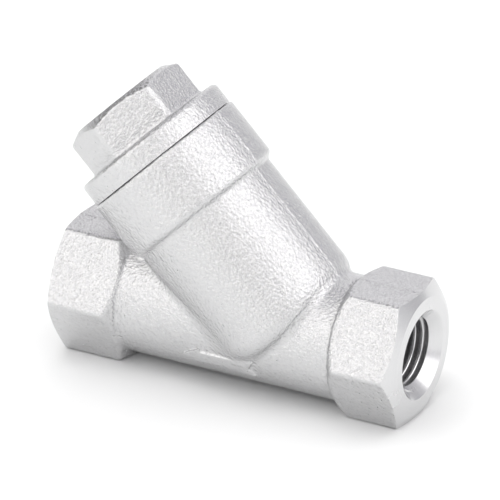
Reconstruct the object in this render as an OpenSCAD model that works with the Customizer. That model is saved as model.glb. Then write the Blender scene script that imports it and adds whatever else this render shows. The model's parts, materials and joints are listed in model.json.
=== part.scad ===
// Y strainer with female threaded ends: a cast body whose leg rises at an
// angle from the pipe run, closed by a hex headed screw cap over a removable
// tubular screen.
//
// Frame: X along the pipe run, with the inlet at +X and the outlet at -X.
// +Z is up and Z = 0 is the plane through the lower flats of the two hex ends.
// X = 0 is half way between the two port faces, and Y = 0 is the symmetry plane.
// Places along the leg are measured from the pipe axis, outwards along the leg.
// Units are millimetres. Threads are plain cylinders at their minor diameter.

/* [Pipe run] */
// Distance between the two port faces
face_to_face = 65; // [62:0.5:70]
// Width across the flats of the hex ends
hex_af = 22.6; // [22:0.1:23.5]
// Length of the inlet's hex end along the pipe
inlet_hex_length = 11.8; // [10:0.1:12.5]
// Length of the outlet's hex end along the pipe
outlet_hex_length = 12.5; // [10:0.1:13]
// Outer radius of the round run between the hex ends
run_r = 10.75; // [10.2:0.05:10.9]

/* [Port threads] */
// Minor radius of the 1/4-18 pipe thread in each port
port_minor_r = 5.7; // [5.5:0.05:5.9]
// Depth at which the port thread ends
port_depth = 13; // [11:0.5:14]
// Radius of the countersink at the port face
countersink_r = 7.7; // [7.2:0.1:8]
// Radius of the flat machined ring of the port face
face_ring_r = 10; // [9.5:0.1:10.4]
// Radius of the flow passage behind each port
passage_r = 5.2; // [4.5:0.1:5.4]

/* [Leg] */
// Angle of the leg from the vertical, leaning towards the outlet
leg_angle = 45; // [43:0.5:47]
// Where the leg axis crosses the pipe axis, from mid length
leg_x = 9.6; // [8:0.1:10]
// Outer radius of the leg
leg_r = 13.3; // [12.8:0.1:13.6]
// Outer radius of the collar at the leg's mouth
collar_r = 14.4; // [14:0.1:14.6]
// Where the collar starts along the leg
collar_start = 25.3; // [24:0.1:27]
// Where the collar's top face is along the leg
collar_end = 36.4; // [35.5:0.1:37]

/* [Cap] */
// Gap that the gasket holds open between the collar and the cap
seam_gap = 0.2; // [0.1:0.05:0.4]
// Outer radius of the cap's flange
flange_r = 14.1; // [13.8:0.1:14.3]
// Thickness of the cap's flange
flange_t = 4; // [3:0.1:4.5]
// Width across the flats of the cap's hex head
cap_af = 20; // [18:0.1:21]
// Height of the cap's hex head above its flange
cap_hex_h = 7.6; // [6:0.1:8]
// Turn of the cap's hex head about the leg axis, in degrees
cap_hex_turn = 32; // [0:1:59]

/* [Screen] */
// Outer radius of the perforated screen tube
screen_r = 8.1; // [7.8:0.05:8.2]
// Thickness of the perforated sheet
sheet_t = 0.5; // [0.4:0.05:0.6]
// Thickness of the woven mesh liner
liner_t = 0.3; // [0.2:0.05:0.4]
// Height of the two rings that bind the screen's ends
ring_h = 2.4; // [1.8:0.1:3]

/* [Hidden] */
$fn = 96;
eps = 0.01;
pipe_z = hex_af / 2;
face_x = face_to_face / 2;
hex_corner_r = hex_af / 2 / cos(30);
countersink_depth = countersink_r - port_minor_r;
// Slopes of the hex end chamfers, as axial depth per unit of radius
inlet_chamfer_slope = 0.48;
outlet_chamfer_slope = 0.4;
inner_chamfer_slope = 0.6;
inner_chamfer_r = 11.15;

// Leg: the lower end is closed and rounded, and sits inside the run
leg_start = 0.3;
leg_round = 2.4;
collar_round = 0.9;
collar_foot = 0.6;
cap_thread_minor_r = 11.2;
cap_thread_major_r = 12;
thread_gap = 0.05;
chamber_r = 10.4;
chamber_floor = 3;
cap_bore_start = 25.6;

// Screen seat at the lower end of the chamber
seat_r = 8.6;
seat_shoulder = 1.5;
pocket_r = 7.4;
pocket_floor = -3.2;
inlet_reach_x = leg_x + 4;
outlet_reach_x = leg_x - 14;

// Gasket, in a counterbore of the collar's top face
gasket_inner_r = cap_thread_major_r + 0.1;
gasket_outer_r = 13.2;
gasket_h = 1.2;
gasket_floor = collar_end + seam_gap - gasket_h;
gasket_clearance = 0.1;

// Cap
flange_bottom = collar_end + seam_gap;
flange_top = flange_bottom + flange_t;
cap_top = flange_top + cap_hex_h;
cap_corner_r = cap_af / 2 / cos(30);
cap_face_r = cap_af / 2 - 1.1;
cap_dome_slope = 0.55;
flange_round = 0.9;
cap_stub_length = 8.7;
cap_socket_r = 9.2;
cap_socket_depth = 1.9;
cap_fillet = 0.8;

// Screen, between the seat shoulder and the roof of the cap's socket
screen_bottom = seat_shoulder;
screen_top = flange_bottom + cap_socket_depth - 0.3;
ring_r = seat_r - 0.1;
ring_clearance = 0.02;
liner_r = screen_r - sheet_t;

// Points of an arc from angle a to angle b about (x, y)
function arc(x, y, r, a, b, n) =
    [for (i = [0:n]) [x + r * cos(a + (b - a) * i / n), y + r * sin(a + (b - a) * i / n)]];

// Places children at x on the pipe axis, with their Z along +X
module on_pipe(x) {
    translate([x, 0, pipe_z]) rotate([0, 90, 0]) children();
}

// Places children on the leg, with Z outwards along it and Z = 0 on the pipe axis
module on_leg() {
    translate([leg_x, 0, pipe_z]) rotate([0, -leg_angle, 0]) children();
}

// A flat ring or tube about Z
module tube(outer, inner, bottom, top) {
    translate([0, 0, bottom]) difference() {
        cylinder(r = outer, h = top - bottom);
        translate([0, 0, -1]) cylinder(r = inner, h = top - bottom + 2);
    }
}

// One hex end with both ends chamfered, its port face at Z = 0 and its body below
module hex_end(length, chamfer_slope) {
    inner_rise = (hex_corner_r - inner_chamfer_r) * inner_chamfer_slope;
    outer_rise = (hex_corner_r - face_ring_r) * chamfer_slope;
    intersection() {
        translate([0, 0, -length]) rotate([0, 0, 30])
            cylinder(r = hex_corner_r, h = length, $fn = 6);
        rotate_extrude() polygon([
            [0, 0],
            [face_ring_r, 0],
            [hex_corner_r, -outer_rise],
            [hex_corner_r, -length + inner_rise],
            [inner_chamfer_r, -length],
            [0, -length]
        ]);
    }
}

// Outside of the leg and its collar
module leg_outside() {
    rotate_extrude() polygon(concat(
        [[0, leg_start]],
        arc(leg_r - leg_round, leg_start + leg_round, leg_round, -90, 0, 6),
        [[leg_r, collar_start - collar_foot]],
        arc(collar_r - collar_round, collar_start + collar_round, collar_round, -60, 0, 4),
        arc(collar_r - collar_round, collar_end - collar_round, collar_round, 0, 75, 4),
        [[0, collar_end]]
    ));
}

// Everything hollow along the leg: cap thread, gasket seat, chamber, screen seat, pocket
module leg_inside() {
    rotate_extrude() polygon([
        [0, pocket_floor],
        [pocket_r, pocket_floor],
        [pocket_r, seat_shoulder],
        [seat_r, seat_shoulder],
        [seat_r, chamber_floor],
        [chamber_r, chamber_floor],
        [chamber_r, cap_bore_start],
        [cap_thread_minor_r, cap_bore_start + 1],
        [cap_thread_minor_r, gasket_floor],
        [gasket_outer_r + gasket_clearance, gasket_floor],
        [gasket_outer_r + gasket_clearance, collar_end + 1],
        [0, collar_end + 1]
    ]);
}

// Port thread, countersink and passage, cut from the face at Z = 0 downwards
module port_inside(reach) {
    rotate_extrude() polygon([
        [0, eps],
        [countersink_r + eps, eps],
        [port_minor_r, -countersink_depth],
        [port_minor_r, -port_depth],
        [passage_r, -port_depth - 1],
        [passage_r, -reach],
        [0, -reach]
    ]);
}

module body() {
    color("gainsboro") difference() {
        union() {
            on_pipe(-face_x + 2) cylinder(r = run_r, h = face_to_face - 4);
            on_pipe(face_x) hex_end(inlet_hex_length, inlet_chamfer_slope);
            mirror([1, 0, 0]) on_pipe(face_x) hex_end(outlet_hex_length, outlet_chamfer_slope);
            on_leg() leg_outside();
        }
        on_leg() leg_inside();
        on_pipe(face_x) port_inside(face_x - inlet_reach_x);
        mirror([1, 0, 0]) on_pipe(face_x) port_inside(face_x + outlet_reach_x);
    }
}

// Hex head with a domed top, from the flange up
module cap_head() {
    dome_drop = (cap_corner_r - cap_face_r) * cap_dome_slope;
    intersection() {
        translate([0, 0, flange_top - 0.5]) rotate([0, 0, cap_hex_turn])
            cylinder(r = cap_corner_r, h = cap_hex_h + 0.5, $fn = 6);
        rotate_extrude() polygon([
            [0, flange_top - 0.5],
            [cap_corner_r + 0.1, flange_top - 0.5],
            [cap_corner_r + 0.1, cap_top - dome_drop],
            [cap_face_r, cap_top],
            [0, cap_top]
        ]);
    }
}

module cap() {
    stub_r = cap_thread_minor_r - thread_gap;
    socket_top = flange_bottom + cap_socket_depth;
    color("gainsboro") on_leg() union() {
        cap_head();
        rotate_extrude() polygon(concat(
            [[cap_socket_r, flange_bottom - cap_stub_length]],
            [[stub_r - 0.8, flange_bottom - cap_stub_length]],
            [[stub_r, flange_bottom - cap_stub_length + 0.8]],
            [[stub_r, flange_bottom]],
            [[flange_r - 0.3, flange_bottom]],
            [[flange_r, flange_bottom + 0.3]],
            arc(flange_r - flange_round, flange_top - flange_round, flange_round, 0, 80, 4),
            [[cap_corner_r - 1 + cap_fillet, flange_top]],
            [[cap_corner_r - 1, flange_top + cap_fillet / 3]],
            [[0, flange_top + cap_fillet / 3]],
            [[0, socket_top]],
            [[cap_socket_r, socket_top]]
        ));
    }
}

module cap_gasket() {
    color("whitesmoke") on_leg()
        tube(gasket_outer_r, gasket_inner_r, gasket_floor, gasket_floor + gasket_h);
}

// Rolled perforated sheet, drawn as a plain tube
module screen_tube() {
    color("silver") on_leg() tube(screen_r, liner_r, screen_bottom, screen_top);
}

// Woven wire cloth inside the tube, drawn as a plain tube
module mesh_liner() {
    color("darkgray") on_leg()
        tube(liner_r - ring_clearance, liner_r - liner_t, screen_bottom, screen_top);
}

module screen_seat_ring() {
    color("silver") on_leg()
        tube(ring_r, screen_r + ring_clearance, screen_bottom, screen_bottom + ring_h);
}

module screen_cap_ring() {
    color("silver") on_leg()
        tube(ring_r, screen_r + ring_clearance, screen_top - ring_h, screen_top);
}

body();
cap();
cap_gasket();
screen_tube();
mesh_liner();
screen_seat_ring();
screen_cap_ring();
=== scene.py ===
"""The looks of a cast Y strainer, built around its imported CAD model.

Shapes are worked out in millimetres in the part's frame, and become metres when a mesh is made.
Cast surfaces come from distance fields, so that every corner of the casting has its fillet.
Machined surfaces are then cut from the castings, as on the real part.
"""

import json
import math

import bmesh
import bpy
import numpy as np
import openvdb
from mathutils import Matrix, Vector


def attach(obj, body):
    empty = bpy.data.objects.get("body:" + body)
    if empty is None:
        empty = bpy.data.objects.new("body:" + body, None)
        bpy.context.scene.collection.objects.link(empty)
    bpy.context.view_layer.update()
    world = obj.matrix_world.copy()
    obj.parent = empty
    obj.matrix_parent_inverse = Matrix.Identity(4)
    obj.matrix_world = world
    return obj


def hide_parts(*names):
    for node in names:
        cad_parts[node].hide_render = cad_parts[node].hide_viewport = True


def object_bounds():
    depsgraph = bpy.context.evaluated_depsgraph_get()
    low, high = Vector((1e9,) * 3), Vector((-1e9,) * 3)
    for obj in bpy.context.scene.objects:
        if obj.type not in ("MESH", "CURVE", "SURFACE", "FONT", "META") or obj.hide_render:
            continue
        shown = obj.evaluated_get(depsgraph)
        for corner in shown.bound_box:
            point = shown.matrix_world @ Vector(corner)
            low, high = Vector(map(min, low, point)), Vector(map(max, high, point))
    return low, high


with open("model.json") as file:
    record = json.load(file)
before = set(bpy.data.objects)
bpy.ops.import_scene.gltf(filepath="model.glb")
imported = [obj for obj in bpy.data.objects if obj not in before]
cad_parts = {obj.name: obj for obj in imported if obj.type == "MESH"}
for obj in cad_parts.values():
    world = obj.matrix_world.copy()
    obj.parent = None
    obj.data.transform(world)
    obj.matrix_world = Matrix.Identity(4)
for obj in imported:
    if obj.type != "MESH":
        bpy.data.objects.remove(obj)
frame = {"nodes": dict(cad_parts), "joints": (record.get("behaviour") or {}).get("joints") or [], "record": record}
cad_low, cad_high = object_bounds()

MM = 0.001
SEGMENTS = 96  # sides of a turned surface

# ---- Places and sizes read from the frame, in millimetres ----

record = frame["record"]
mounts = {m["name"]: m for m in record["mounts"]}
inlet = mounts["inlet_port"]
pipe_z = inlet["pos_m"][2] / MM
port_minor_r = inlet["dims"]["r_mm"]
face_x = cad_high.x / MM
hex_half = pipe_z  # the hex ends stand on their flats

screw = next(j for j in frame["joints"] if j["name"] == "cap_turn")
leg_dir = np.array(screw["axis"], float)
leg_dir /= np.linalg.norm(leg_dir)
leg_side = np.array([leg_dir[2], 0.0, -leg_dir[0]])
screw_place = np.array(screw["pos_m"], float) / MM
leg_origin = screw_place + leg_dir * (pipe_z - screw_place[2]) / leg_dir[2]


def leg_points(node):
    """A node's points, as distances along the leg from the pipe axis and radii about the leg."""
    points = np.array([v.co for v in frame["nodes"][node].data.vertices], float) / MM - leg_origin
    return points @ leg_dir, np.hypot(points @ leg_side, points[:, 1])


def leg_extent(node):
    """A node's start and end along the leg, and its largest radius."""
    along, radius = leg_points(node)
    return along.min(), along.max(), radius.max()


def leg_inner(node):
    """A ring node's smallest radius about the leg."""
    return leg_points(node)[1].min()


cap_start, cap_end, flange_r = leg_extent("cap")
gasket_start, gasket_end, gasket_r = leg_extent("cap_gasket")
screen_start, screen_end, screen_r = leg_extent("screen_tube")
ring_r = leg_extent("screen_seat_ring")[2]
thread_pitch = 2 * math.pi * record["behaviour"]["couplings"][0]["ratio"] / MM

# ---- Sizes of the castings that the frame doesn't name, in millimetres ----

RUN_R = 10.75
INLET_HEX_LENGTH = 11.8
OUTLET_HEX_LENGTH = 12.5
FACE_RING_R = 10.0
COUNTERSINK_R = 7.7
PORT_DEPTH = 13.0
PORT_MAJOR_R = 6.6
PORT_PITCH = 1.411
PASSAGE_R = 5.2
INLET_REACH = 4.0  # where the passages start, either side of the leg axis's foot
OUTLET_REACH = 14.0

LEG_R = 13.3
LEG_START = 0.3
COLLAR_R = 14.4
COLLAR_START = 25.3
SEAM_GAP = 0.06
collar_end = gasket_end - SEAM_GAP
CHAMBER_R = 10.4
CHAMBER_FLOOR = 3.0
POCKET_R = 7.4
POCKET_FLOOR = -3.2
SEAT_CLEARANCE = 0.1

CAP_THREAD_R = 12.0
CAP_BORE_R = 11.2
CAP_THREAD_START = 25.6
FLANGE_T = 4.0
CAP_HEX_HALF = 10.0
CAP_HEX_TURN = 32.0
CAP_SOCKET_R = 9.2
CAP_SOCKET_DEPTH = 1.9

# ---- Distance fields, in millimetres ----

COS30 = math.cos(math.radians(30))
SIN30 = 0.5


def fillet_union(a, b, r):
    """Joins two solids, with a round fillet of radius r where they meet."""
    u = np.maximum(r - a, 0)
    v = np.maximum(r - b, 0)
    return np.maximum(np.minimum(a, b), r) - np.hypot(u, v)


def round_cut(a, b, r):
    """Keeps what two solids share, with the edge between them rounded to radius r."""
    u = np.maximum(a + r, 0)
    v = np.maximum(b + r, 0)
    return np.minimum(np.maximum(a, b), -r) + np.hypot(u, v)


def cone_side(axial, radius, slope):
    """Outside of a chamfer cone: axial depth falls by slope for each unit of radius."""
    return (axial + slope * radius) / math.hypot(1, slope)


def hex_prism(y, z, half, edge_r):
    """A hex bar with two flats square to z."""
    first = round_cut(np.abs(z) - half, np.abs(y * COS30 + z * SIN30) - half, edge_r)
    return round_cut(first, np.abs(y * COS30 - z * SIN30) - half, edge_r)


def leg_coordinates(x, y, z):
    """Along the leg, to its upper side, and the radius about its axis."""
    dx, dz = x - leg_origin[0], z - leg_origin[2]
    along = dx * leg_dir[0] + dz * leg_dir[2]
    side = dx * leg_side[0] + dz * leg_side[2]
    return along, side, np.hypot(side, y)


HEX_EDGE_R = 0.4
INNER_EDGE_R = 0.4
MACHINING_STOCK = 0.3
INLET_CHAMFER = 0.48  # chamfers: axial depth for each unit of radius
OUTLET_CHAMFER = 0.4
INNER_CHAMFER = 0.8
INNER_CHAMFER_R = 11.0
HEX_FOOT = 0.5  # how far the inner chamfer reaches past the hex end's length
RUN_INSET = 3.0
LEG_OVERLAP = 1.0
LEG_END_ROUND = 3.0
LEG_UPPER_ROUND = 5.0
LEG_LOWER_ROUND = 9.0
COLLAR_ROUND = 1.2
COLLAR_TOP_ROUND = 0.6
RUN_LEG_FILLET = 1.0
STEP_FILLET = 0.6
HEX_FILLET = 0.45
ARROW_FILLET = 0.12
CAST_EDGE_R = 0.3


def hex_end(x, y, dz, radius):
    """Both hex ends at once, with metal left on their faces for machining."""
    ax = np.abs(x)
    bar = hex_prism(y, dz, hex_half, HEX_EDGE_R)
    start = face_x - HEX_FOOT - np.where(x > 0, INLET_HEX_LENGTH, OUTLET_HEX_LENGTH)
    inner = cone_side(start - ax, radius - INNER_CHAMFER_R, INNER_CHAMFER)
    solid = round_cut(bar, inner, INNER_EDGE_R)
    solid = round_cut(solid, start - ax, INNER_EDGE_R)
    return np.maximum(solid, ax - face_x - MACHINING_STOCK)


def leg_end_round(side):
    """Radius of the rounding at the leg's lower end, which grows towards its upper and lower sides."""
    above = np.clip(side / LEG_R, 0, 1) ** 2
    below = np.clip(-side / LEG_R, 0, 1) ** 2
    upper = (LEG_UPPER_ROUND - LEG_END_ROUND) * above
    lower = (LEG_LOWER_ROUND - LEG_END_ROUND) * below
    return LEG_END_ROUND + upper + lower


def body_outside(x, y, z):
    """The run, the leg and its collar, the hex ends, the flow arrow and the parting line."""
    dz = z - pipe_z
    radius = np.hypot(y, dz)
    along, side, leg_radius = leg_coordinates(x, y, z)
    run = np.maximum(radius - RUN_R, np.abs(x) - face_x + RUN_INSET)
    leg = round_cut(leg_radius - LEG_R, LEG_START - along, leg_end_round(side))
    leg = np.maximum(leg, along - collar_end + LEG_OVERLAP)
    collar = round_cut(leg_radius - COLLAR_R, COLLAR_START - along, COLLAR_ROUND)
    collar = round_cut(collar, along - collar_end, COLLAR_TOP_ROUND)
    ends = hex_end(x, y, dz, radius)
    solid = fillet_union(run, leg, RUN_LEG_FILLET)
    solid = fillet_union(solid, collar, STEP_FILLET)
    solid = fillet_union(solid, ends, HEX_FILLET)
    solid = fillet_union(solid, flow_arrow(x, y, dz, radius), ARROW_FILLET)
    return solid - parting_line(y, z)


PARTING_HEIGHT = 0.11
PARTING_WIDTH = 0.25
PARTING_START = 1.0


def parting_line(y, z):
    """Height of the thin ridge that the mould leaves in the symmetry plane, above the lower flats."""
    return PARTING_HEIGHT * np.exp(-((y / PARTING_WIDTH) ** 2)) * np.clip(z - PARTING_START, 0, 1)


ARROW_TIP_X = -7.3
ARROW_TAIL_X = 6.4
ARROW_HEAD = 3.6
ARROW_NOTCH = 1.1
ARROW_HALF = 1.3
ARROW_HEAD_HALF = 2.1
FLIGHT_START_X = 2.3
FLIGHT_HALF = 1.85
ARROW_BELOW = math.radians(26)
ARROW_HEIGHT = 0.4
ARROW_DEPTH = 1.0
ARROW_EDGE_R = 0.2


def flow_arrow(x, y, dz, radius):
    """The raised flow arrow on the run's lower front, which points at the outlet."""
    across = np.abs((np.arctan2(-dz, -y) - ARROW_BELOW) * RUN_R)
    slope = ARROW_HEAD_HALF / ARROW_HEAD
    head = (across - slope * (x - ARROW_TIP_X)) / math.hypot(1, slope)
    head = np.maximum(head, x - ARROW_TIP_X - ARROW_HEAD)
    tail = x - ARROW_TAIL_X + (FLIGHT_HALF - across) * ARROW_NOTCH / FLIGHT_HALF
    shaft = np.maximum(np.maximum(across - ARROW_HALF, tail), ARROW_TIP_X + ARROW_HEAD - ARROW_DEPTH - x)
    flight = np.maximum(np.maximum(across - FLIGHT_HALF, tail), FLIGHT_START_X - x)
    outline = np.maximum(np.minimum(np.minimum(head, shaft), flight), RUN_R - ARROW_DEPTH - radius)
    return round_cut(outline, radius - RUN_R - ARROW_HEIGHT, ARROW_EDGE_R)


CHAMBER_ROUND = 0.6
POCKET_ROUND = 0.8
PASSAGE_FILLET = 0.5


def body_inside(x, y, z):
    """The cast hollows: the chamber round the screen, the pocket below it and the two passages."""
    dz = z - pipe_z
    radius = np.hypot(y, dz)
    along, side, leg_radius = leg_coordinates(x, y, z)
    chamber = round_cut(leg_radius - CHAMBER_R, CHAMBER_FLOOR - along, CHAMBER_ROUND)
    pocket = round_cut(leg_radius - POCKET_R, POCKET_FLOOR - along, POCKET_ROUND)
    way_in = np.maximum(radius - PASSAGE_R, leg_origin[0] + INLET_REACH - x)
    way_out = np.maximum(radius - PASSAGE_R, x - leg_origin[0] + OUTLET_REACH)
    hollow = np.minimum(chamber, pocket)
    hollow = fillet_union(hollow, way_out, PASSAGE_FILLET)
    return fillet_union(hollow, way_in, PASSAGE_FILLET)


def body_field(x, y, z):
    """The casting before machining."""
    return round_cut(body_outside(x, y, z), -body_inside(x, y, z), CAST_EDGE_R)


CAP_EDGE_R = 0.8
FLANGE_ROUND = 0.9
HEAD_FILLET = 0.6
HEAD_OVERLAP = 1.0
DOME_SLOPE = 0.55
DOME_EDGE_R = 0.3
CAP_FACE_R = 8.9


def cap_field(x, y, z):
    """The cast head and flange, with metal left under the flange for machining."""
    along, side, radius = leg_coordinates(x, y, z)
    turn = math.radians(CAP_HEX_TURN)
    across = side * math.cos(turn) + y * math.sin(turn)
    over = y * math.cos(turn) - side * math.sin(turn)
    head = hex_prism(across, over, CAP_HEX_HALF, CAP_EDGE_R)
    dome = cone_side(along - cap_end, radius - CAP_FACE_R, DOME_SLOPE)
    head = round_cut(head, np.maximum(dome, along - cap_end), DOME_EDGE_R)
    flange_end = gasket_end + FLANGE_T
    head = np.maximum(head, flange_end - HEAD_OVERLAP - along)
    flange = round_cut(radius - flange_r, along - flange_end, FLANGE_ROUND)
    flange = np.maximum(flange, gasket_end - MACHINING_STOCK - along)
    return fillet_union(head, flange, HEAD_FILLET)


# ---- Meshes ----


def new_object(name, points, faces):
    """A smooth shaded object from points in millimetres."""
    mesh = bpy.data.meshes.new(name)
    mesh.from_pydata((np.asarray(points) * MM).tolist(), [], [list(map(int, f)) for f in faces])
    mesh.update()
    mesh.shade_smooth()
    obj = bpy.data.objects.new(name, mesh)
    bpy.context.scene.collection.objects.link(obj)
    return obj


SNAP_STEPS = 3


def field_object(name, field, low, high, voxel):
    """Meshes a distance field between two corners, and puts each point exactly on the surface."""
    axes = [np.arange(low[i], high[i] + voxel, voxel, dtype=np.float32) for i in range(3)]
    values = np.empty([len(a) for a in axes], np.float32)
    y, z = np.meshgrid(axes[1], axes[2], indexing="ij")
    for i, x in enumerate(axes[0]):
        values[i] = field(np.full_like(y, x), y, z)
    band = 3 * voxel
    grid = openvdb.FloatGrid(background=float(band))
    grid.copyFromArray(np.clip(values, -band, band))
    points, quads = grid.convertToQuads(isovalue=0.0)
    points = points.astype(np.float64) * voxel + np.array([a[0] for a in axes])
    for _ in range(SNAP_STEPS):
        normal = gradient(field, points, voxel * 0.1)
        length = np.linalg.norm(normal, axis=1, keepdims=True)
        normal /= np.maximum(length, 1e-6)
        distance = field(points[:, 0], points[:, 1], points[:, 2])[:, None]
        points -= normal * np.clip(distance, -voxel, voxel)
    points -= normal * cast_relief(points)[:, None]
    return new_object(name, points, quads[:, ::-1])


RELIEF_HEIGHT = 0.045
RELIEF_PHASE = 1.7
RELIEF_WAVES = (
    (2.1, 0.9, 0.4),
    (-0.7, 1.9, 1.1),
    (0.8, -1.2, 2.3),
    (1.4, 1.5, -1.6),
    (-2.2, 0.6, 1.3),
    (0.3, 2.6, -0.9),
)


def cast_relief(points):
    """How far the gently uneven skin of a casting lies below its nominal surface."""
    waves = sum(np.sin(points @ np.array(w) + RELIEF_PHASE * i) for i, w in enumerate(RELIEF_WAVES))
    return RELIEF_HEIGHT * (0.5 + 0.5 * waves / len(RELIEF_WAVES))


def gradient(field, points, step):
    """The field's direction of steepest rise at some points, not scaled to length 1."""
    x, y, z = points.T
    return np.stack(
        [
            field(x + step, y, z) - field(x - step, y, z),
            field(x, y + step, z) - field(x, y - step, z),
            field(x, y, z + step) - field(x, y, z - step),
        ],
        axis=1,
    )


def lathe(name, profile, segments=SEGMENTS):
    """A turned solid about Z, from (radius, height) points.

    A profile that starts on the axis also ends on it. Any other profile is a closed loop.
    """
    points, faces, rings = [], [], []
    closed = profile[0][0] > 0
    for r, h in profile:
        if r == 0:
            rings.append([len(points)] * segments)
            points.append((0, 0, h))
            continue
        rings.append(list(range(len(points), len(points) + segments)))
        for k in range(segments):
            a = 2 * math.pi * k / segments
            points.append((r * math.cos(a), r * math.sin(a), h))
    following = rings[1:] + rings[:1] if closed else rings[1:]
    for lower, upper in zip(rings, following):
        for k in range(segments):
            n = (k + 1) % segments
            face = [lower[k], lower[n], upper[n], upper[k]]
            face = [p for i, p in enumerate(face) if p not in face[:i]]
            if len(face) > 2:
                faces.append(face)
    return new_object(name, points, faces)


def vee(crest_r, root_r, crest_half):
    """Half of a 60 degree ridge, from its crest down. crest_half is half its width at the crest."""
    root_half = crest_half + (crest_r - root_r) * math.tan(math.radians(30))
    return [(crest_half, crest_r), (root_half, root_r)]


def screw_solid(name, half_ridge, pitch, start, end):
    """A right-handed threaded bar about Z. half_ridge is (offset, radius) points from a ridge's crest down.

    Each column of points follows the ridges at one angle. The last column meets the first one a turn higher.
    """
    ridge = [(-offset, r) for offset, r in half_ridge[::-1]] + half_ridge
    turns = math.ceil((end - start) / pitch)
    per_turn = len(ridge)
    rows = (turns + 1) * per_turn
    points = []
    for k in range(SEGMENTS):
        angle = 2 * math.pi * k / SEGMENTS
        for turn in range(turns + 1):
            for offset, r in ridge:
                height = start + (turn + k / SEGMENTS) * pitch + offset
                points.append((r * math.cos(angle), r * math.sin(angle), height))
    bottom, top = len(points), len(points) + 1
    points += [(0, 0, start - 2 * pitch), (0, 0, start + (turns + 3) * pitch)]

    def at(k, row):
        return k * rows + row if k < SEGMENTS else row + per_turn

    faces = []
    for k in range(SEGMENTS):
        height = rows - 1 if k < SEGMENTS - 1 else rows - 1 - per_turn
        faces += [[at(k, j), at(k + 1, j), at(k + 1, j + 1), at(k, j + 1)] for j in range(height)]
        faces.append([at(k + 1, 0), at(k, 0), bottom])
        faces.append([at(k, height), at(k + 1, height), top])
    faces += [[j, j + 1, bottom] for j in range(per_turn)]
    last = (SEGMENTS - 1) * rows
    faces += [[last + j + 1, last + j, top] for j in range(rows - 1 - per_turn, rows - 1)]
    return new_object(name, points, faces)


def on_pipe(obj, x):
    """Moves an object made about Z so that its Z points out of the port at x."""
    turn = Matrix.Rotation(math.radians(90 if x > 0 else -90), 4, "Y")
    obj.data.transform(Matrix.Translation((x * MM, 0, pipe_z * MM)) @ turn)
    return obj


LEG_FRAME = Matrix((leg_side, (0, 1, 0), leg_dir)).transposed().to_4x4()
LEG_FRAME.translation = leg_origin * MM


def on_leg(obj):
    """Moves an object made about Z onto the leg, with its height 0 at the pipe axis."""
    obj.data.transform(LEG_FRAME)
    return obj


def apply_modifiers(obj):
    """Replaces an object's mesh with the result of its modifiers."""
    graph = bpy.context.evaluated_depsgraph_get()
    mesh = bpy.data.meshes.new_from_object(obj.evaluated_get(graph))
    obj.modifiers.clear()
    obj.data = mesh


def combine(obj, operation, tool):
    """Cuts or joins a tool into an object. The faces that it makes keep the tool's material."""
    modifier = obj.modifiers.new("combine", "BOOLEAN")
    modifier.operation = operation
    modifier.solver = "MANIFOLD"
    modifier.material_mode = "TRANSFER"
    modifier.object = tool
    apply_modifiers(obj)
    bpy.data.objects.remove(tool)
    return obj


def machine(obj, operation, tool, material):
    """Cuts or joins a turned tool, which leaves its own material on the new faces."""
    tool.data.materials.append(material)
    return combine(obj, operation, tool)


def thin_out(obj, ratio):
    """Merges the small faces of flat and gently curved places."""
    modifier = obj.modifiers.new("thin", "DECIMATE")
    modifier.ratio = ratio
    apply_modifiers(obj)


MACHINED_ANGLE = 12


def sharpen(obj, degrees, only_machined=True):
    """Smooth shading, broken at edges that turn by more than an angle.

    With only_machined, an edge between two cast faces stays smooth.
    """
    mesh = bmesh.new()
    mesh.from_mesh(obj.data)
    for face in mesh.faces:
        face.smooth = True
    limit = math.radians(degrees)
    for edge in mesh.edges:
        faces = edge.link_faces
        if len(faces) != 2:
            continue
        machined = not only_machined or faces[0].material_index or faces[1].material_index
        edge.smooth = not (machined and edge.calc_face_angle(0) > limit)
    mesh.to_mesh(obj.data)
    mesh.free()


# ---- Materials ----


def new_material(name, colour, metallic, roughness):
    """A material and its shader, with plain values that nodes can then override."""
    material = bpy.data.materials.new(name)
    material.use_nodes = True
    shader = material.node_tree.nodes["Principled BSDF"]
    shader.inputs["Base Color"].default_value = (*colour, 1)
    shader.inputs["Metallic"].default_value = metallic
    shader.inputs["Roughness"].default_value = roughness
    return material, shader


def object_place(material):
    """The place on the object, in metres."""
    return material.node_tree.nodes.new("ShaderNodeTexCoord").outputs["Object"]


def noise_map(material, place, scale, detail=2.0, roughness=0.5, stretch=None):
    """Noise from 0 to 1, with scale features to the metre."""
    nodes, links = material.node_tree.nodes, material.node_tree.links
    if stretch is not None:
        mapping = nodes.new("ShaderNodeMapping")
        mapping.inputs["Scale"].default_value = stretch
        links.new(place, mapping.inputs["Vector"])
        place = mapping.outputs["Vector"]
    texture = nodes.new("ShaderNodeTexNoise")
    texture.inputs["Scale"].default_value = scale
    texture.inputs["Detail"].default_value = detail
    texture.inputs["Roughness"].default_value = roughness
    links.new(place, texture.inputs["Vector"])
    return texture.outputs["Fac"]


def remap(material, value, low, high, out_low, out_high):
    """Maps low..high to out_low..out_high, and holds the ends."""
    node = material.node_tree.nodes.new("ShaderNodeMapRange")
    node.inputs["From Min"].default_value = low
    node.inputs["From Max"].default_value = high
    node.inputs["To Min"].default_value = out_low
    node.inputs["To Max"].default_value = out_high
    material.node_tree.links.new(value, node.inputs["Value"])
    return node.outputs["Result"]


def bump(material, height, distance, below=None):
    """Adds relief, on top of the relief of an earlier bump. Height 0 to 1 stands for that distance."""
    node = material.node_tree.nodes.new("ShaderNodeBump")
    node.inputs["Strength"].default_value = 1.0
    node.inputs["Distance"].default_value = distance
    material.node_tree.links.new(height, node.inputs["Height"])
    if below is not None:
        material.node_tree.links.new(below, node.inputs["Normal"])
    return node.outputs["Normal"]


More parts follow.
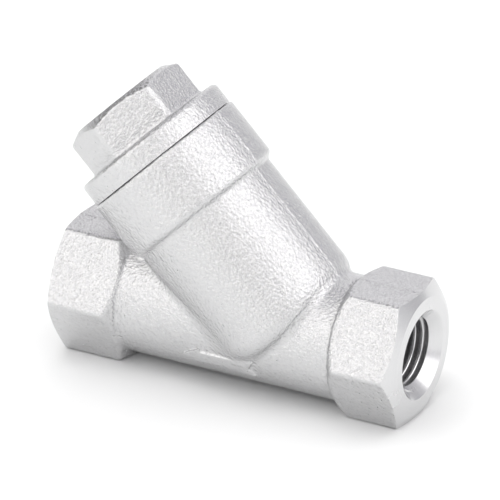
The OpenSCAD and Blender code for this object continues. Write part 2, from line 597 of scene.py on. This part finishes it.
def mix_colours(material, factor, first, second):
    """The first colour where the factor is 0, and the second where it is 1."""
    node = material.node_tree.nodes.new("ShaderNodeMix")
    node.data_type = "RGBA"
    node.inputs["A"].default_value = (*first, 1)
    node.inputs["B"].default_value = (*second, 1)
    material.node_tree.links.new(factor, node.inputs["Factor"])
    return node.outputs["Result"]


STEEL = (0.75, 0.75, 0.752)
TURNED_DARK = (0.65, 0.65, 0.66)
TURNED_LIGHT = (0.72, 0.72, 0.72)
MARKS_SCALE = 7000
MARKS_BUMP = 0.000003
WEAR_SCALE = 200
CAST_DARK = (0.64, 0.64, 0.65)
CAST_LIGHT = (0.69, 0.69, 0.69)
SWELL_SCALE = 260
SWELL_BUMP = 0.00004
PEEL_SCALE = 1900
PEEL_BUMP = 0.00028
GRAIN_SCALE = 6500
GRAIN_BUMP = 0.00002
SHEET_DARK = (0.6, 0.6, 0.61)
SHEET_LIGHT = (0.74, 0.74, 0.75)
SHEET_SCALE = 900
SHEET_STRETCH = (1.0, 6.0, 1.0)
SHEET_BUMP = 0.00001
WIRE_DARK = (0.5, 0.5, 0.5)
WIRE_LIGHT = (0.66, 0.66, 0.65)
WIRE_SCALE = 2500
POLYMER_DARK = (0.72, 0.72, 0.7)
POLYMER_LIGHT = (0.84, 0.84, 0.82)
POLYMER_SCALE = 1500
POLYMER_BUMP = 0.00002


def cast_steel():
    """Bead blasted investment casting: satin steel with a sandy orange peel skin."""
    material, shader = new_material("cast_stainless", STEEL, 1.0, 0.25)
    links = material.node_tree.links
    place = object_place(material)
    swell = noise_map(material, place, SWELL_SCALE, 2)
    peel = noise_map(material, place, PEEL_SCALE, 3, 0.55)
    grain = noise_map(material, place, GRAIN_SCALE, 2)
    normal = bump(material, swell, SWELL_BUMP)
    normal = bump(material, peel, PEEL_BUMP, normal)
    normal = bump(material, grain, GRAIN_BUMP, normal)
    links.new(normal, shader.inputs["Normal"])
    tone = remap(material, peel, 0.35, 0.65, 0, 1)
    links.new(mix_colours(material, tone, CAST_DARK, CAST_LIGHT), shader.inputs["Base Color"])
    links.new(remap(material, peel, 0.3, 0.7, 0.28, 0.2), shader.inputs["Roughness"])
    return material


def turned_steel(name, centre, rotation):
    """Steel turned about an axis: bright, with fine rings left by the tool. centre is in millimetres."""
    material, shader = new_material(name, STEEL, 1.0, 0.25)
    nodes, links = material.node_tree.nodes, material.node_tree.links
    place = object_place(material)
    centred = nodes.new("ShaderNodeVectorMath")
    centred.operation = "SUBTRACT"
    centred.inputs[1].default_value = [c * MM for c in centre]
    links.new(place, centred.inputs[0])
    turned = nodes.new("ShaderNodeVectorRotate")
    turned.rotation_type = "Y_AXIS"
    turned.inputs["Angle"].default_value = rotation
    links.new(centred.outputs["Vector"], turned.inputs["Vector"])
    parts = nodes.new("ShaderNodeSeparateXYZ")
    links.new(turned.outputs["Vector"], parts.inputs["Vector"])
    flat = nodes.new("ShaderNodeCombineXYZ")
    links.new(parts.outputs["X"], flat.inputs["X"])
    links.new(parts.outputs["Y"], flat.inputs["Y"])
    length = nodes.new("ShaderNodeVectorMath")
    length.operation = "LENGTH"
    links.new(flat.outputs["Vector"], length.inputs[0])
    rings = nodes.new("ShaderNodeCombineXYZ")
    links.new(length.outputs["Value"], rings.inputs["X"])
    links.new(parts.outputs["Z"], rings.inputs["Y"])
    marks = noise_map(material, rings.outputs["Vector"], MARKS_SCALE, 2, 0.6)
    wear = noise_map(material, place, WEAR_SCALE, 2)
    links.new(bump(material, marks, MARKS_BUMP), shader.inputs["Normal"])
    links.new(remap(material, wear, 0.3, 0.7, 0.22, 0.28), shader.inputs["Roughness"])
    links.new(mix_colours(material, marks, TURNED_DARK, TURNED_LIGHT), shader.inputs["Base Color"])
    return material


def sheet_steel():
    """Cold rolled stainless sheet, with a faint grain along the tube."""
    material, shader = new_material("sheet_stainless", STEEL, 1.0, 0.3)
    links = material.node_tree.links
    place = object_place(material)
    grain = noise_map(material, place, SHEET_SCALE, 3, 0.6, SHEET_STRETCH)
    links.new(bump(material, grain, SHEET_BUMP), shader.inputs["Normal"])
    links.new(remap(material, grain, 0.3, 0.7, 0.24, 0.36), shader.inputs["Roughness"])
    links.new(mix_colours(material, grain, SHEET_DARK, SHEET_LIGHT), shader.inputs["Base Color"])
    return material


def wire_steel():
    """Drawn stainless wire, a little darker than sheet."""
    material, shader = new_material("wire_stainless", WIRE_DARK, 1.0, 0.35)
    links = material.node_tree.links
    grain = noise_map(material, object_place(material), WIRE_SCALE, 2)
    links.new(remap(material, grain, 0.3, 0.7, 0.28, 0.42), shader.inputs["Roughness"])
    links.new(mix_colours(material, grain, WIRE_DARK, WIRE_LIGHT), shader.inputs["Base Color"])
    return material


def gasket_sheet():
    """White fluoropolymer sheet, cut to a ring."""
    material, shader = new_material("gasket_polymer", POLYMER_LIGHT, 0.0, 0.5)
    links = material.node_tree.links
    grain = noise_map(material, object_place(material), POLYMER_SCALE, 3)
    links.new(bump(material, grain, POLYMER_BUMP), shader.inputs["Normal"])
    links.new(remap(material, grain, 0.3, 0.7, 0.42, 0.58), shader.inputs["Roughness"])
    links.new(mix_colours(material, grain, POLYMER_DARK, POLYMER_LIGHT), shader.inputs["Base Color"])
    return material


CAST = cast_steel()
PIPE_TURNED = turned_steel("pipe_turned_stainless", (0, 0, pipe_z), math.radians(90))
LEG_TURNED = turned_steel("leg_turned_stainless", leg_origin, math.atan2(-leg_dir[0], leg_dir[2]))
SHEET = sheet_steel()
WIRE = wire_steel()
POLYMER = gasket_sheet()

# ---- The body ----

VOXEL = 0.2
BODY_KEEP = 0.22  # shares of the faces that thinning keeps
CAP_KEEP = 0.3
EDGE_BREAK = 0.12
GASKET_CLEARANCE = 0.1
CLEAR_R = 16.0  # outside everything on the leg
CLEAR = 2.0  # how far a tool starts outside the metal
PORT_CLEAR_R = 15.0
PORT_THREAD_RUNOUT = 2.0
PORT_TAP = [(0.03, PORT_MAJOR_R), (0.475, 5.83), (0.56, 5.74), (0.64, port_minor_r - 0.01)]
TAP_CREST = 0.065
LEG_THREAD_PHASE = CAP_THREAD_START + 0.75
END_MARGIN = 0.7  # how far the meshed box reaches past the body
SIDE_MARGIN = 0.8
FLOOR_MARGIN = 0.6
BODY_TOP = 48


def cut_port(body, x, chamfer):
    """Faces, countersinks, drills and taps the port at x."""
    depth = COUNTERSINK_R - port_minor_r
    fall = chamfer * (PORT_CLEAR_R - FACE_RING_R)
    tool = [(0, -PORT_DEPTH), (port_minor_r, -PORT_DEPTH), (port_minor_r, -depth)]
    tool += [(COUNTERSINK_R, 0), (FACE_RING_R, 0), (PORT_CLEAR_R, -fall)]
    tool += [(PORT_CLEAR_R, CLEAR), (0, CLEAR)]
    machine(body, "DIFFERENCE", on_pipe(lathe("facing", tool), x), PIPE_TURNED)
    start = -PORT_DEPTH + PORT_THREAD_RUNOUT
    tap = screw_solid("tap", PORT_TAP, PORT_PITCH, start, 1)
    machine(body, "DIFFERENCE", on_pipe(tap, x), PIPE_TURNED)


def cut_leg(body):
    """Bores the screen's seat, faces the collar, and cuts the gasket's step and the cap's thread."""
    seat_r = ring_r + SEAT_CLEARANCE
    seat_end = CHAMBER_FLOOR + 1
    seat = [(0, screen_start), (seat_r, screen_start), (seat_r, seat_end), (0, seat_end)]
    machine(body, "DIFFERENCE", on_leg(lathe("seat", seat)), LEG_TURNED)
    mouth_r = gasket_r + GASKET_CLEARANCE
    lead = CAP_THREAD_R - CAP_BORE_R + 0.1
    bottom = CAP_THREAD_START - 1
    tool = [(0, bottom), (CHAMBER_R - 0.4, bottom), (CAP_BORE_R, CAP_THREAD_START)]
    tool += [(CAP_BORE_R, gasket_start - lead), (CAP_BORE_R + lead, gasket_start), (mouth_r, gasket_start)]
    tool += [(mouth_r, collar_end - EDGE_BREAK), (mouth_r + EDGE_BREAK, collar_end), (CLEAR_R, collar_end)]
    tool += [(CLEAR_R, collar_end + CLEAR), (0, collar_end + CLEAR)]
    machine(body, "DIFFERENCE", on_leg(lathe("bore", tool)), LEG_TURNED)
    ridge = vee(CAP_THREAD_R + 0.05, CAP_BORE_R - 0.01, TAP_CREST)
    tap = screw_solid("tap", ridge, thread_pitch, LEG_THREAD_PHASE, gasket_start)
    machine(body, "DIFFERENCE", on_leg(tap), LEG_TURNED)


def make_body():
    """The casting, with its ports and leg machined."""
    low = (-face_x - END_MARGIN, -COLLAR_R - SIDE_MARGIN, -FLOOR_MARGIN)
    high = (face_x + END_MARGIN, COLLAR_R + SIDE_MARGIN, BODY_TOP)
    body = field_object("body_casting", body_field, low, high, VOXEL)
    body.data.materials.append(CAST)
    thin_out(body, BODY_KEEP)
    cut_port(body, face_x, INLET_CHAMFER)
    cut_port(body, -face_x, OUTLET_CHAMFER)
    cut_leg(body)
    sharpen(body, MACHINED_ANGLE)
    return body


body = make_body()
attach(body, "body")
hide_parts("body")

# ---- The cap ----

PLUG_RELIEF = 1.3
PLUG_CREST = 0.093
PLUG_CREST_R = CAP_THREAD_R - 0.05
PLUG_ROOT_R = CAP_BORE_R - 0.15
CAP_REACH = 20


def make_plug():
    """The cap's threaded plug: a blank with a lead, a thread and a relief under the flange."""
    lead = PLUG_CREST_R - PLUG_ROOT_R + 0.25
    relief = gasket_end - PLUG_RELIEF
    blank_r = PLUG_CREST_R + 0.1
    blank = [(0, cap_start), (blank_r - lead, cap_start), (blank_r, cap_start + lead)]
    blank += [(blank_r, relief - 0.6), (PLUG_ROOT_R, relief), (PLUG_ROOT_R, gasket_end + 1)]
    blank += [(0, gasket_end + 1)]
    plug = lathe("plug", blank)
    plug.data.materials.append(LEG_TURNED)
    ridge = vee(PLUG_CREST_R, PLUG_ROOT_R, PLUG_CREST)
    thread = screw_solid("thread", ridge, thread_pitch, LEG_THREAD_PHASE, gasket_end + 1)
    return machine(plug, "INTERSECT", thread, LEG_TURNED)


def make_cap():
    """The cast head, with its threaded plug joined on and its socket bored."""
    centre = leg_origin + leg_dir * (cap_start + cap_end) / 2
    cap = field_object("screw_cap", cap_field, centre - CAP_REACH, centre + CAP_REACH, VOXEL)
    cap.data.materials.append(CAST)
    thin_out(cap, CAP_KEEP)
    below = gasket_end - CLEAR
    under = [(0, below), (CLEAR_R, below), (CLEAR_R, gasket_end), (0, gasket_end)]
    machine(cap, "DIFFERENCE", on_leg(lathe("under", under)), LEG_TURNED)
    combine(cap, "UNION", on_leg(make_plug()))
    end = gasket_end + CAP_SOCKET_DEPTH
    lip = CAP_SOCKET_R + 0.4
    socket = [(0, cap_start - 1), (lip + 1, cap_start - 1), (CAP_SOCKET_R, cap_start + 0.4)]
    socket += [(CAP_SOCKET_R, end - 0.5), (CAP_SOCKET_R - 0.5, end), (0, end)]
    machine(cap, "DIFFERENCE", on_leg(lathe("socket", socket)), LEG_TURNED)
    sharpen(cap, MACHINED_ANGLE)
    return cap


cap = make_cap()
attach(cap, "cap")
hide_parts("cap")

# ---- The gasket ----

GASKET_CHAMFER = 0.06


def chamfered_ring(name, inner, outer, start, end, chamfer):
    """A turned ring with its corners broken."""
    c = chamfer
    profile = [(inner, start + c), (inner + c, start), (outer - c, start), (outer, start + c)]
    profile += [(outer, end - c), (outer - c, end), (inner + c, end), (inner, end - c)]
    return on_leg(lathe(name, profile, 2 * SEGMENTS))


gasket_inner = leg_inner("cap_gasket")
gasket = chamfered_ring("sealing_gasket", gasket_inner, gasket_r, gasket_start, gasket_end, GASKET_CHAMFER)
gasket.data.materials.append(POLYMER)
sharpen(gasket, 30, False)
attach(gasket, "gasket")
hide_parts("cap_gasket")

# ---- The screen's two rings ----

LIP_STEPS = 6


def rolled_ring(name, node):
    """A thin band with rounded lips, closed round the end of the tube."""
    start, end, outer = leg_extent(node)
    inner = leg_inner(node)
    wall = outer - inner
    profile = []
    for centre, first in ((end - wall / 2, 0), (start + wall / 2, 180)):
        for step in range(LIP_STEPS + 1):
            a = math.radians(first + 180 // LIP_STEPS * step)
            profile.append((inner + wall / 2 + wall / 2 * math.cos(a), centre + wall / 2 * math.sin(a)))
    ring = on_leg(lathe(name, profile[::-1], 2 * SEGMENTS))
    ring.data.materials.append(SHEET)
    sharpen(ring, 50, False)
    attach(ring, "screen")
    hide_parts(node)


rolled_ring("screen_lower_ring", "screen_seat_ring")
rolled_ring("screen_upper_ring", "screen_cap_ring")

# ---- The perforated tube ----

HOLE_COLUMNS = 22
HOLE_R = 0.72
HOLE_SIDES = 24
CELL_SIDES = 12
CELL_SPLIT = 4  # parts along a cell's upper and lower edges
SHEET_T = 0.4
SHEET_CLEARANCE = 0.05
HOLE_MARGIN = 3.1
SEAM_COLUMNS = 1.3


def tube_point(angle, along, r):
    """A point on a cylinder about the leg's axis."""
    return (r * math.cos(angle), r * math.sin(angle), along)


def make_tube():
    """A rolled sheet with staggered rows of round holes, left plain along its seam."""
    outer = screen_r - SHEET_CLEARANCE
    inner = outer - SHEET_T
    cell = 2 * math.pi / HOLE_COLUMNS
    width = cell * outer
    span = screen_end - screen_start - 2 * HOLE_MARGIN
    rows = round(span / (width * math.sqrt(0.75)))
    height = span / rows
    points, index, faces = [], {}, []

    def vertex(angle, along, r):
        """The index of a point, which neighbours share."""
        key = (round(angle / cell * 1000) % (HOLE_COLUMNS * 1000), round(along * 1000), r)
        if key not in index:
            index[key] = len(points)
            points.append(tube_point(angle, along, r))
        return index[key]

    def wall(loop_outer, loop_inner):
        """The faces through the sheet's thickness between two matching loops."""
        for i in range(len(loop_outer)):
            n = (i + 1) % len(loop_outer)
            faces.append([loop_outer[i], loop_outer[n], loop_inner[n], loop_inner[i]])

    def add(corner_places):
        """One face on the outside of the sheet and its match on the inside."""
        faces.append([vertex(a, t, outer) for a, t in corner_places])
        faces.append([vertex(a, t, inner) for a, t in corner_places[::-1]])

    for row in range(rows):
        for column in range(HOLE_COLUMNS):
            middle = (column + 0.5 * (row % 2)) * cell
            centre = screen_start + HOLE_MARGIN + (row + 0.5) * height
            parts = [i / CELL_SPLIT for i in range(CELL_SPLIT)]
            edge = [(-0.5 + part, -0.5) for part in parts] + [(0.5, -0.5), (0.5, 0)]
            edge += [(0.5 - part, 0.5) for part in parts] + [(-0.5, 0.5), (-0.5, 0)]
            edge = [(middle + u * cell, centre + v * height) for u, v in edge]
            from_seam = (middle / cell + HOLE_COLUMNS / 2) % HOLE_COLUMNS - HOLE_COLUMNS / 2
            if abs(from_seam) < SEAM_COLUMNS:
                add(edge)
                continue
            hole = []
            start = math.atan2(-height / 2, -width / 2)
            for i in range(HOLE_SIDES):
                a = start + 2 * math.pi * i / HOLE_SIDES
                hole.append((middle + HOLE_R / outer * math.cos(a), centre + HOLE_R * math.sin(a)))
            for i in range(CELL_SIDES):
                n = (i + 1) % CELL_SIDES
                ring = [hole[(2 * i + 2) % HOLE_SIDES], hole[2 * i + 1], hole[2 * i]]
                add([edge[i], edge[n]] + ring)
            wall([vertex(a, t, outer) for a, t in hole], [vertex(a, t, inner) for a, t in hole])
    steps = HOLE_COLUMNS * CELL_SPLIT
    lower_band = (screen_start, screen_start + HOLE_MARGIN)
    upper_band = (screen_end - HOLE_MARGIN, screen_end)
    for start, end in (lower_band, upper_band):
        for i in range(steps):
            a, b = i * cell / CELL_SPLIT, (i + 1) * cell / CELL_SPLIT
            add([(a, start), (b, start), (b, end), (a, end)])
    for along, order in ((screen_start, 1), (screen_end, -1)):
        angles = [i * cell / CELL_SPLIT for i in range(steps)][::order]
        wall([vertex(a, along, inner) for a in angles], [vertex(a, along, outer) for a in angles])
    return new_object("perforated_tube", points, faces)


SEAM_WIDTH = 3.2
SEAM_END_GAP = 0.1
SEAM_PROUD = 0.05
SEAM_SUNK = 0.1
SEAM_EDGE = 0.12  # share of the half width over which an edge rounds off
WELDS = 9
WELD_R = 0.62
WELD_DEPTH = 0.14


def seam_strip():
    """The sheet's lapped edge, with a row of small weld dimples."""
    outer = screen_r - SHEET_CLEARANCE
    start = leg_extent("screen_seat_ring")[1] + SEAM_END_GAP
    end = leg_extent("screen_cap_ring")[0] - SEAM_END_GAP
    half = SEAM_WIDTH / 2 / outer
    across, along = 24, 240
    points = []
    for j in range(along + 1):
        t = start + (end - start) * j / along
        for i in range(across + 1):
            u = -1 + 2 * i / across
            edge = min(1 - abs(u), SEAM_EDGE) / SEAM_EDGE
            weld = min(abs(t - (start + (end - start) * (k + 0.5) / WELDS)) for k in range(WELDS))
            dimple = WELD_DEPTH * max(0, 1 - (math.hypot(u * SEAM_WIDTH / 2, weld) / WELD_R) ** 2)
            rise = (SHEET_T + SEAM_PROUD) * math.sqrt(max(0.0, 1 - (1 - edge) ** 2))
            points.append(tube_point(u * half, t, outer - SEAM_SUNK + rise - dimple))
    for j in range(along + 1):
        t = start + (end - start) * j / along
        turns = [(-1 + 2 * i / across) * half for i in range(across + 1)]
        points += [tube_point(a, t, outer - 2 * SEAM_SUNK) for a in turns]
    row = across + 1
    layer = row * (along + 1)
    faces = []
    for j in range(along):
        for i in range(across):
            a = j * row + i
            faces.append([a, a + 1, a + row + 1, a + row])
            faces.append([layer + a, layer + a + row, layer + a + row + 1, layer + a + 1])
        for a, side in ((j * row, 1), (j * row + across, -1)):
            faces.append([a, a + row, layer + a + row, layer + a][::side])
    for i in range(across):
        a, b = i, along * row + i
        faces.append([a, layer + a, layer + a + 1, a + 1])
        faces.append([b, b + 1, layer + b + 1, layer + b])
    return new_object("seam", points, faces)


tube = make_tube()
combine(tube, "UNION", seam_strip())
on_leg(tube)
tube.data.materials.clear()
tube.data.materials.append(SHEET)
sharpen(tube, 40, False)
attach(tube, "screen")
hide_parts("screen_tube")

# ---- The woven liner ----

WIRE_SIDES = 6
WARP_WIRES = 50
CRIMP = 0.96  # how far a wire swings, in wire radii
END_CRIMP = 0.4  # share of the swing past the last crossing


def woven_wires():
    """Plain woven wire cloth rolled into a tube: warp wires along it, weft wires round it."""
    start, end, outer = leg_extent("mesh_liner")
    inner = leg_inner("mesh_liner")
    wire_r = (outer - inner) / 4
    middle = (outer + inner) / 2
    crimp = wire_r * CRIMP
    pitch = 2 * math.pi * middle / WARP_WIRES
    weft_wires = int((end - start - 2 * wire_r) / pitch / 2) * 2
    first = (start + end) / 2 - (weft_wires - 1) * pitch / 2
    points, faces = [], []

    def wire_along(path, normals, closed):
        """A round wire along a path, closed on itself or capped at both ends."""
        base = len(points)
        sides = WIRE_SIDES
        count = len(path)
        for i in range(count):
            ahead = path[(i + 1) % count] if closed or i < count - 1 else path[i]
            behind = path[i - 1] if closed or i > 0 else path[i]
            tangent = ahead - behind
            tangent /= np.linalg.norm(tangent)
            out = normals[i] - tangent * (normals[i] @ tangent)
            out /= np.linalg.norm(out)
            beside = np.cross(tangent, out)
            for s in range(sides):
                a = 2 * math.pi * s / sides
                points.append(path[i] + wire_r * (math.cos(a) * out + math.sin(a) * beside))
        for i in range(count if closed else count - 1):
            n = (i + 1) % count
            for s in range(sides):
                m = (s + 1) % sides
                near, far = base + i * sides, base + n * sides
                faces.append([near + s, near + m, far + m, far + s])
        if not closed:
            faces.append([base + s for s in range(sides)][::-1])
            faces.append([base + (count - 1) * sides + s for s in range(sides)])

    for k in range(WARP_WIRES):
        angle = 2 * math.pi * k / WARP_WIRES
        out = np.array([math.cos(angle), math.sin(angle), 0])
        places = [first + pitch * j / 2 for j in range(2 * weft_wires - 1)]
        places = [start + wire_r / 2] + places + [end - wire_r / 2]
        path = []
        for t in places:
            turn = (t - first) / pitch
            lift = crimp * math.cos(math.pi * turn) * (1 if k % 2 else -1)
            lift *= 1 if first <= t <= first + pitch * (weft_wires - 1) else END_CRIMP
            path.append(out * (middle + lift) + np.array([0, 0, t]))
        wire_along(path, [out] * len(path), False)
    for j in range(weft_wires):
        path, normals = [], []
        for i in range(2 * WARP_WIRES):
            angle = math.pi * i / WARP_WIRES
            out = np.array([math.cos(angle), math.sin(angle), 0])
            lift = crimp * math.cos(math.pi * i / 2) * (-1 if j % 2 else 1)
            path.append(out * (middle + lift) + np.array([0, 0, first + pitch * j]))
            normals.append(out)
        wire_along(path, normals, True)
    return new_object("woven_liner", points, faces)


liner = on_leg(woven_wires())
liner.data.materials.append(WIRE)
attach(liner, "screen")
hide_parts("mesh_liner")

# ---- Floor and lights ----


FLOOR_HALF = 6.0
SOFTBOX_DISTANCE = 0.8
SOFTBOX_COLOUR = (1.0, 0.985, 0.96)
SURROUND_COLOUR = (1.0, 0.99, 1.03, 1)
SURROUND_LEVEL = 0.8

# Name, azimuth, elevation, width and height in degrees, and radiance
SOFTBOXES = (
    ("left_front", 323, 34, 68, 60, 1.05),
    ("front_strip", 16, 18, 12, 50, 1.6),
    ("right", 86, 42, 62, 60, 1.05),
    ("back", 208, 32, 36, 36, 0.45),
)

# Name, azimuth, elevation and angle in degrees, and strength
FLOOR_SUNS = (
    ("floor_front", 340, 60, 60, 0.8),
    ("floor_top", 190, 75, 90, 1.3),
    ("floor_fill", 0, 90, 150, 2.1),
)

# Azimuth, elevation, core and edge in degrees, and the share of light left at the core
DARK_SIDE = (272, 20, 24, 56, 0.12)
FRONT_GAP = (18, 16, 14, 40, 0.25)
BACK_GAP = (146, 2, 10, 36, 0.7)


def make_floor():
    """A matt white floor that is only part of the picture, not of the object."""
    half = FLOOR_HALF
    corners = [(-half, -half, 0), (half, -half, 0), (half, half, 0), (-half, half, 0)]
    mesh = bpy.data.meshes.new("floor")
    mesh.from_pydata(corners, [], [(0, 1, 2, 3)])
    floor = bpy.data.objects.new("floor", mesh)
    bpy.context.scene.collection.objects.link(floor)
    material, shader = new_material("floor_white", (0.9, 0.9, 0.9), 0.0, 0.9)
    shader.inputs["Specular IOR Level"].default_value = 0.1
    mesh.materials.append(material)


def towards(azimuth, elevation):
    """Azimuth 0 is the -Y side, 90 the +X side. Both in degrees."""
    a, e = math.radians(azimuth), math.radians(elevation)
    return Vector((math.sin(a) * math.cos(e), -math.cos(a) * math.cos(e), math.sin(e)))


def softbox(name, azimuth, elevation, width, height, radiance):
    """A soft box that the steel mirrors, as wide and high in degrees as seen from the object."""
    place = towards(azimuth, elevation) * SOFTBOX_DISTANCE
    light = bpy.data.lights.new(name, "AREA")
    light.shape = "RECTANGLE"
    light.size = 2 * SOFTBOX_DISTANCE * math.tan(math.radians(width / 2))
    light.size_y = 2 * SOFTBOX_DISTANCE * math.tan(math.radians(height / 2))
    light.energy = radiance * math.pi * light.size * light.size_y
    light.color = SOFTBOX_COLOUR
    obj = bpy.data.objects.new(name, light)
    obj.location = place + Vector((0, 0, pipe_z * MM))
    obj.rotation_euler = (-place).to_track_quat("-Z", "Y").to_euler()
    obj.visible_camera = False
    obj.visible_diffuse = False
    bpy.context.scene.collection.objects.link(obj)


def floor_sun(name, azimuth, elevation, angle, strength):
    """A wide soft sun that lights the floor and casts the shadow, but is not mirrored by the steel."""
    light = bpy.data.lights.new(name, "SUN")
    light.angle = math.radians(angle)
    light.energy = strength
    obj = bpy.data.objects.new(name, light)
    obj.rotation_euler = (-towards(azimuth, elevation)).to_track_quat("-Z", "Y").to_euler()
    obj.visible_glossy = False
    bpy.context.scene.collection.objects.link(obj)


def world_dip(nodes, links, direction, azimuth, elevation, core, edge, share):
    """Falls from 1 to a share of the light, from edge to core degrees off a direction."""
    facing = nodes.new("ShaderNodeVectorMath")
    facing.operation = "DOT_PRODUCT"
    facing.inputs[1].default_value = towards(azimuth, elevation)
    links.new(direction, facing.inputs[0])
    fall = nodes.new("ShaderNodeMapRange")
    fall.interpolation_type = "SMOOTHSTEP"
    fall.inputs["From Min"].default_value = math.cos(math.radians(edge))
    fall.inputs["From Max"].default_value = math.cos(math.radians(core))
    fall.inputs["To Min"].default_value = 1.0
    fall.inputs["To Max"].default_value = share
    links.new(facing.outputs["Value"], fall.inputs["Value"])
    return fall.outputs["Result"]


def make_world(level, dips):
    """An even surround with a few darker places, which only the steel mirrors."""
    world = bpy.data.worlds.new("studio")
    world.use_nodes = True
    nodes, links = world.node_tree.nodes, world.node_tree.links
    direction = nodes.new("ShaderNodeTexCoord").outputs["Generated"]
    strength = None
    for dip in dips:
        scale = nodes.new("ShaderNodeMath")
        scale.operation = "MULTIPLY"
        links.new(world_dip(nodes, links, direction, *dip), scale.inputs[0])
        scale.inputs[1].default_value = level
        if strength is not None:
            links.new(strength, scale.inputs[1])
        strength = scale.outputs["Value"]
    links.new(strength, nodes["Background"].inputs["Strength"])
    nodes["Background"].inputs["Color"].default_value = SURROUND_COLOUR
    bpy.context.scene.world = world
    world.cycles_visibility.diffuse = False


make_floor()
make_world(SURROUND_LEVEL, (DARK_SIDE, FRONT_GAP, BACK_GAP))
for sun in FLOOR_SUNS:
    floor_sun(*sun)
for box in SOFTBOXES:
    softbox(*box)

# ---- Camera ----

CAMERA_AZIMUTH = 27.27
CAMERA_ELEVATION = 26.37
CAMERA_ROLL = 0.58
CAMERA_DISTANCE = 0.924
CAMERA_LENS = 397.4
LOOK_HEIGHT = 0.0144
AIM_RIGHT = 0.000268
AIM_UP = 0.007776


def make_camera():
    """The camera, which aims a little off a point on the object's axis so that the object sits as framed."""
    back = towards(CAMERA_AZIMUTH, CAMERA_ELEVATION)
    azimuth = math.radians(CAMERA_AZIMUTH)
    level = Vector((math.cos(azimuth), math.sin(azimuth), 0))
    right = Matrix.Rotation(math.radians(CAMERA_ROLL), 3, back) @ level
    up = back.cross(right)
    look = Vector((0, 0, LOOK_HEIGHT))
    camera = bpy.data.objects.new("camera", bpy.data.cameras.new("camera"))
    camera.data.lens = CAMERA_LENS
    camera.data.sensor_width = 36
    camera.data.clip_end = 20
    camera.location = look + back * CAMERA_DISTANCE
    aim = look + right * AIM_RIGHT + up * AIM_UP
    away = (camera.location - aim).normalized()
    across = up.cross(away).normalized()
    axes = Matrix((across, away.cross(across), away)).transposed()
    camera.rotation_euler = axes.to_euler()
    bpy.context.scene.collection.objects.link(camera)
    bpy.context.scene.camera = camera


make_camera()
bpy.context.scene.view_settings.view_transform = "Standard"
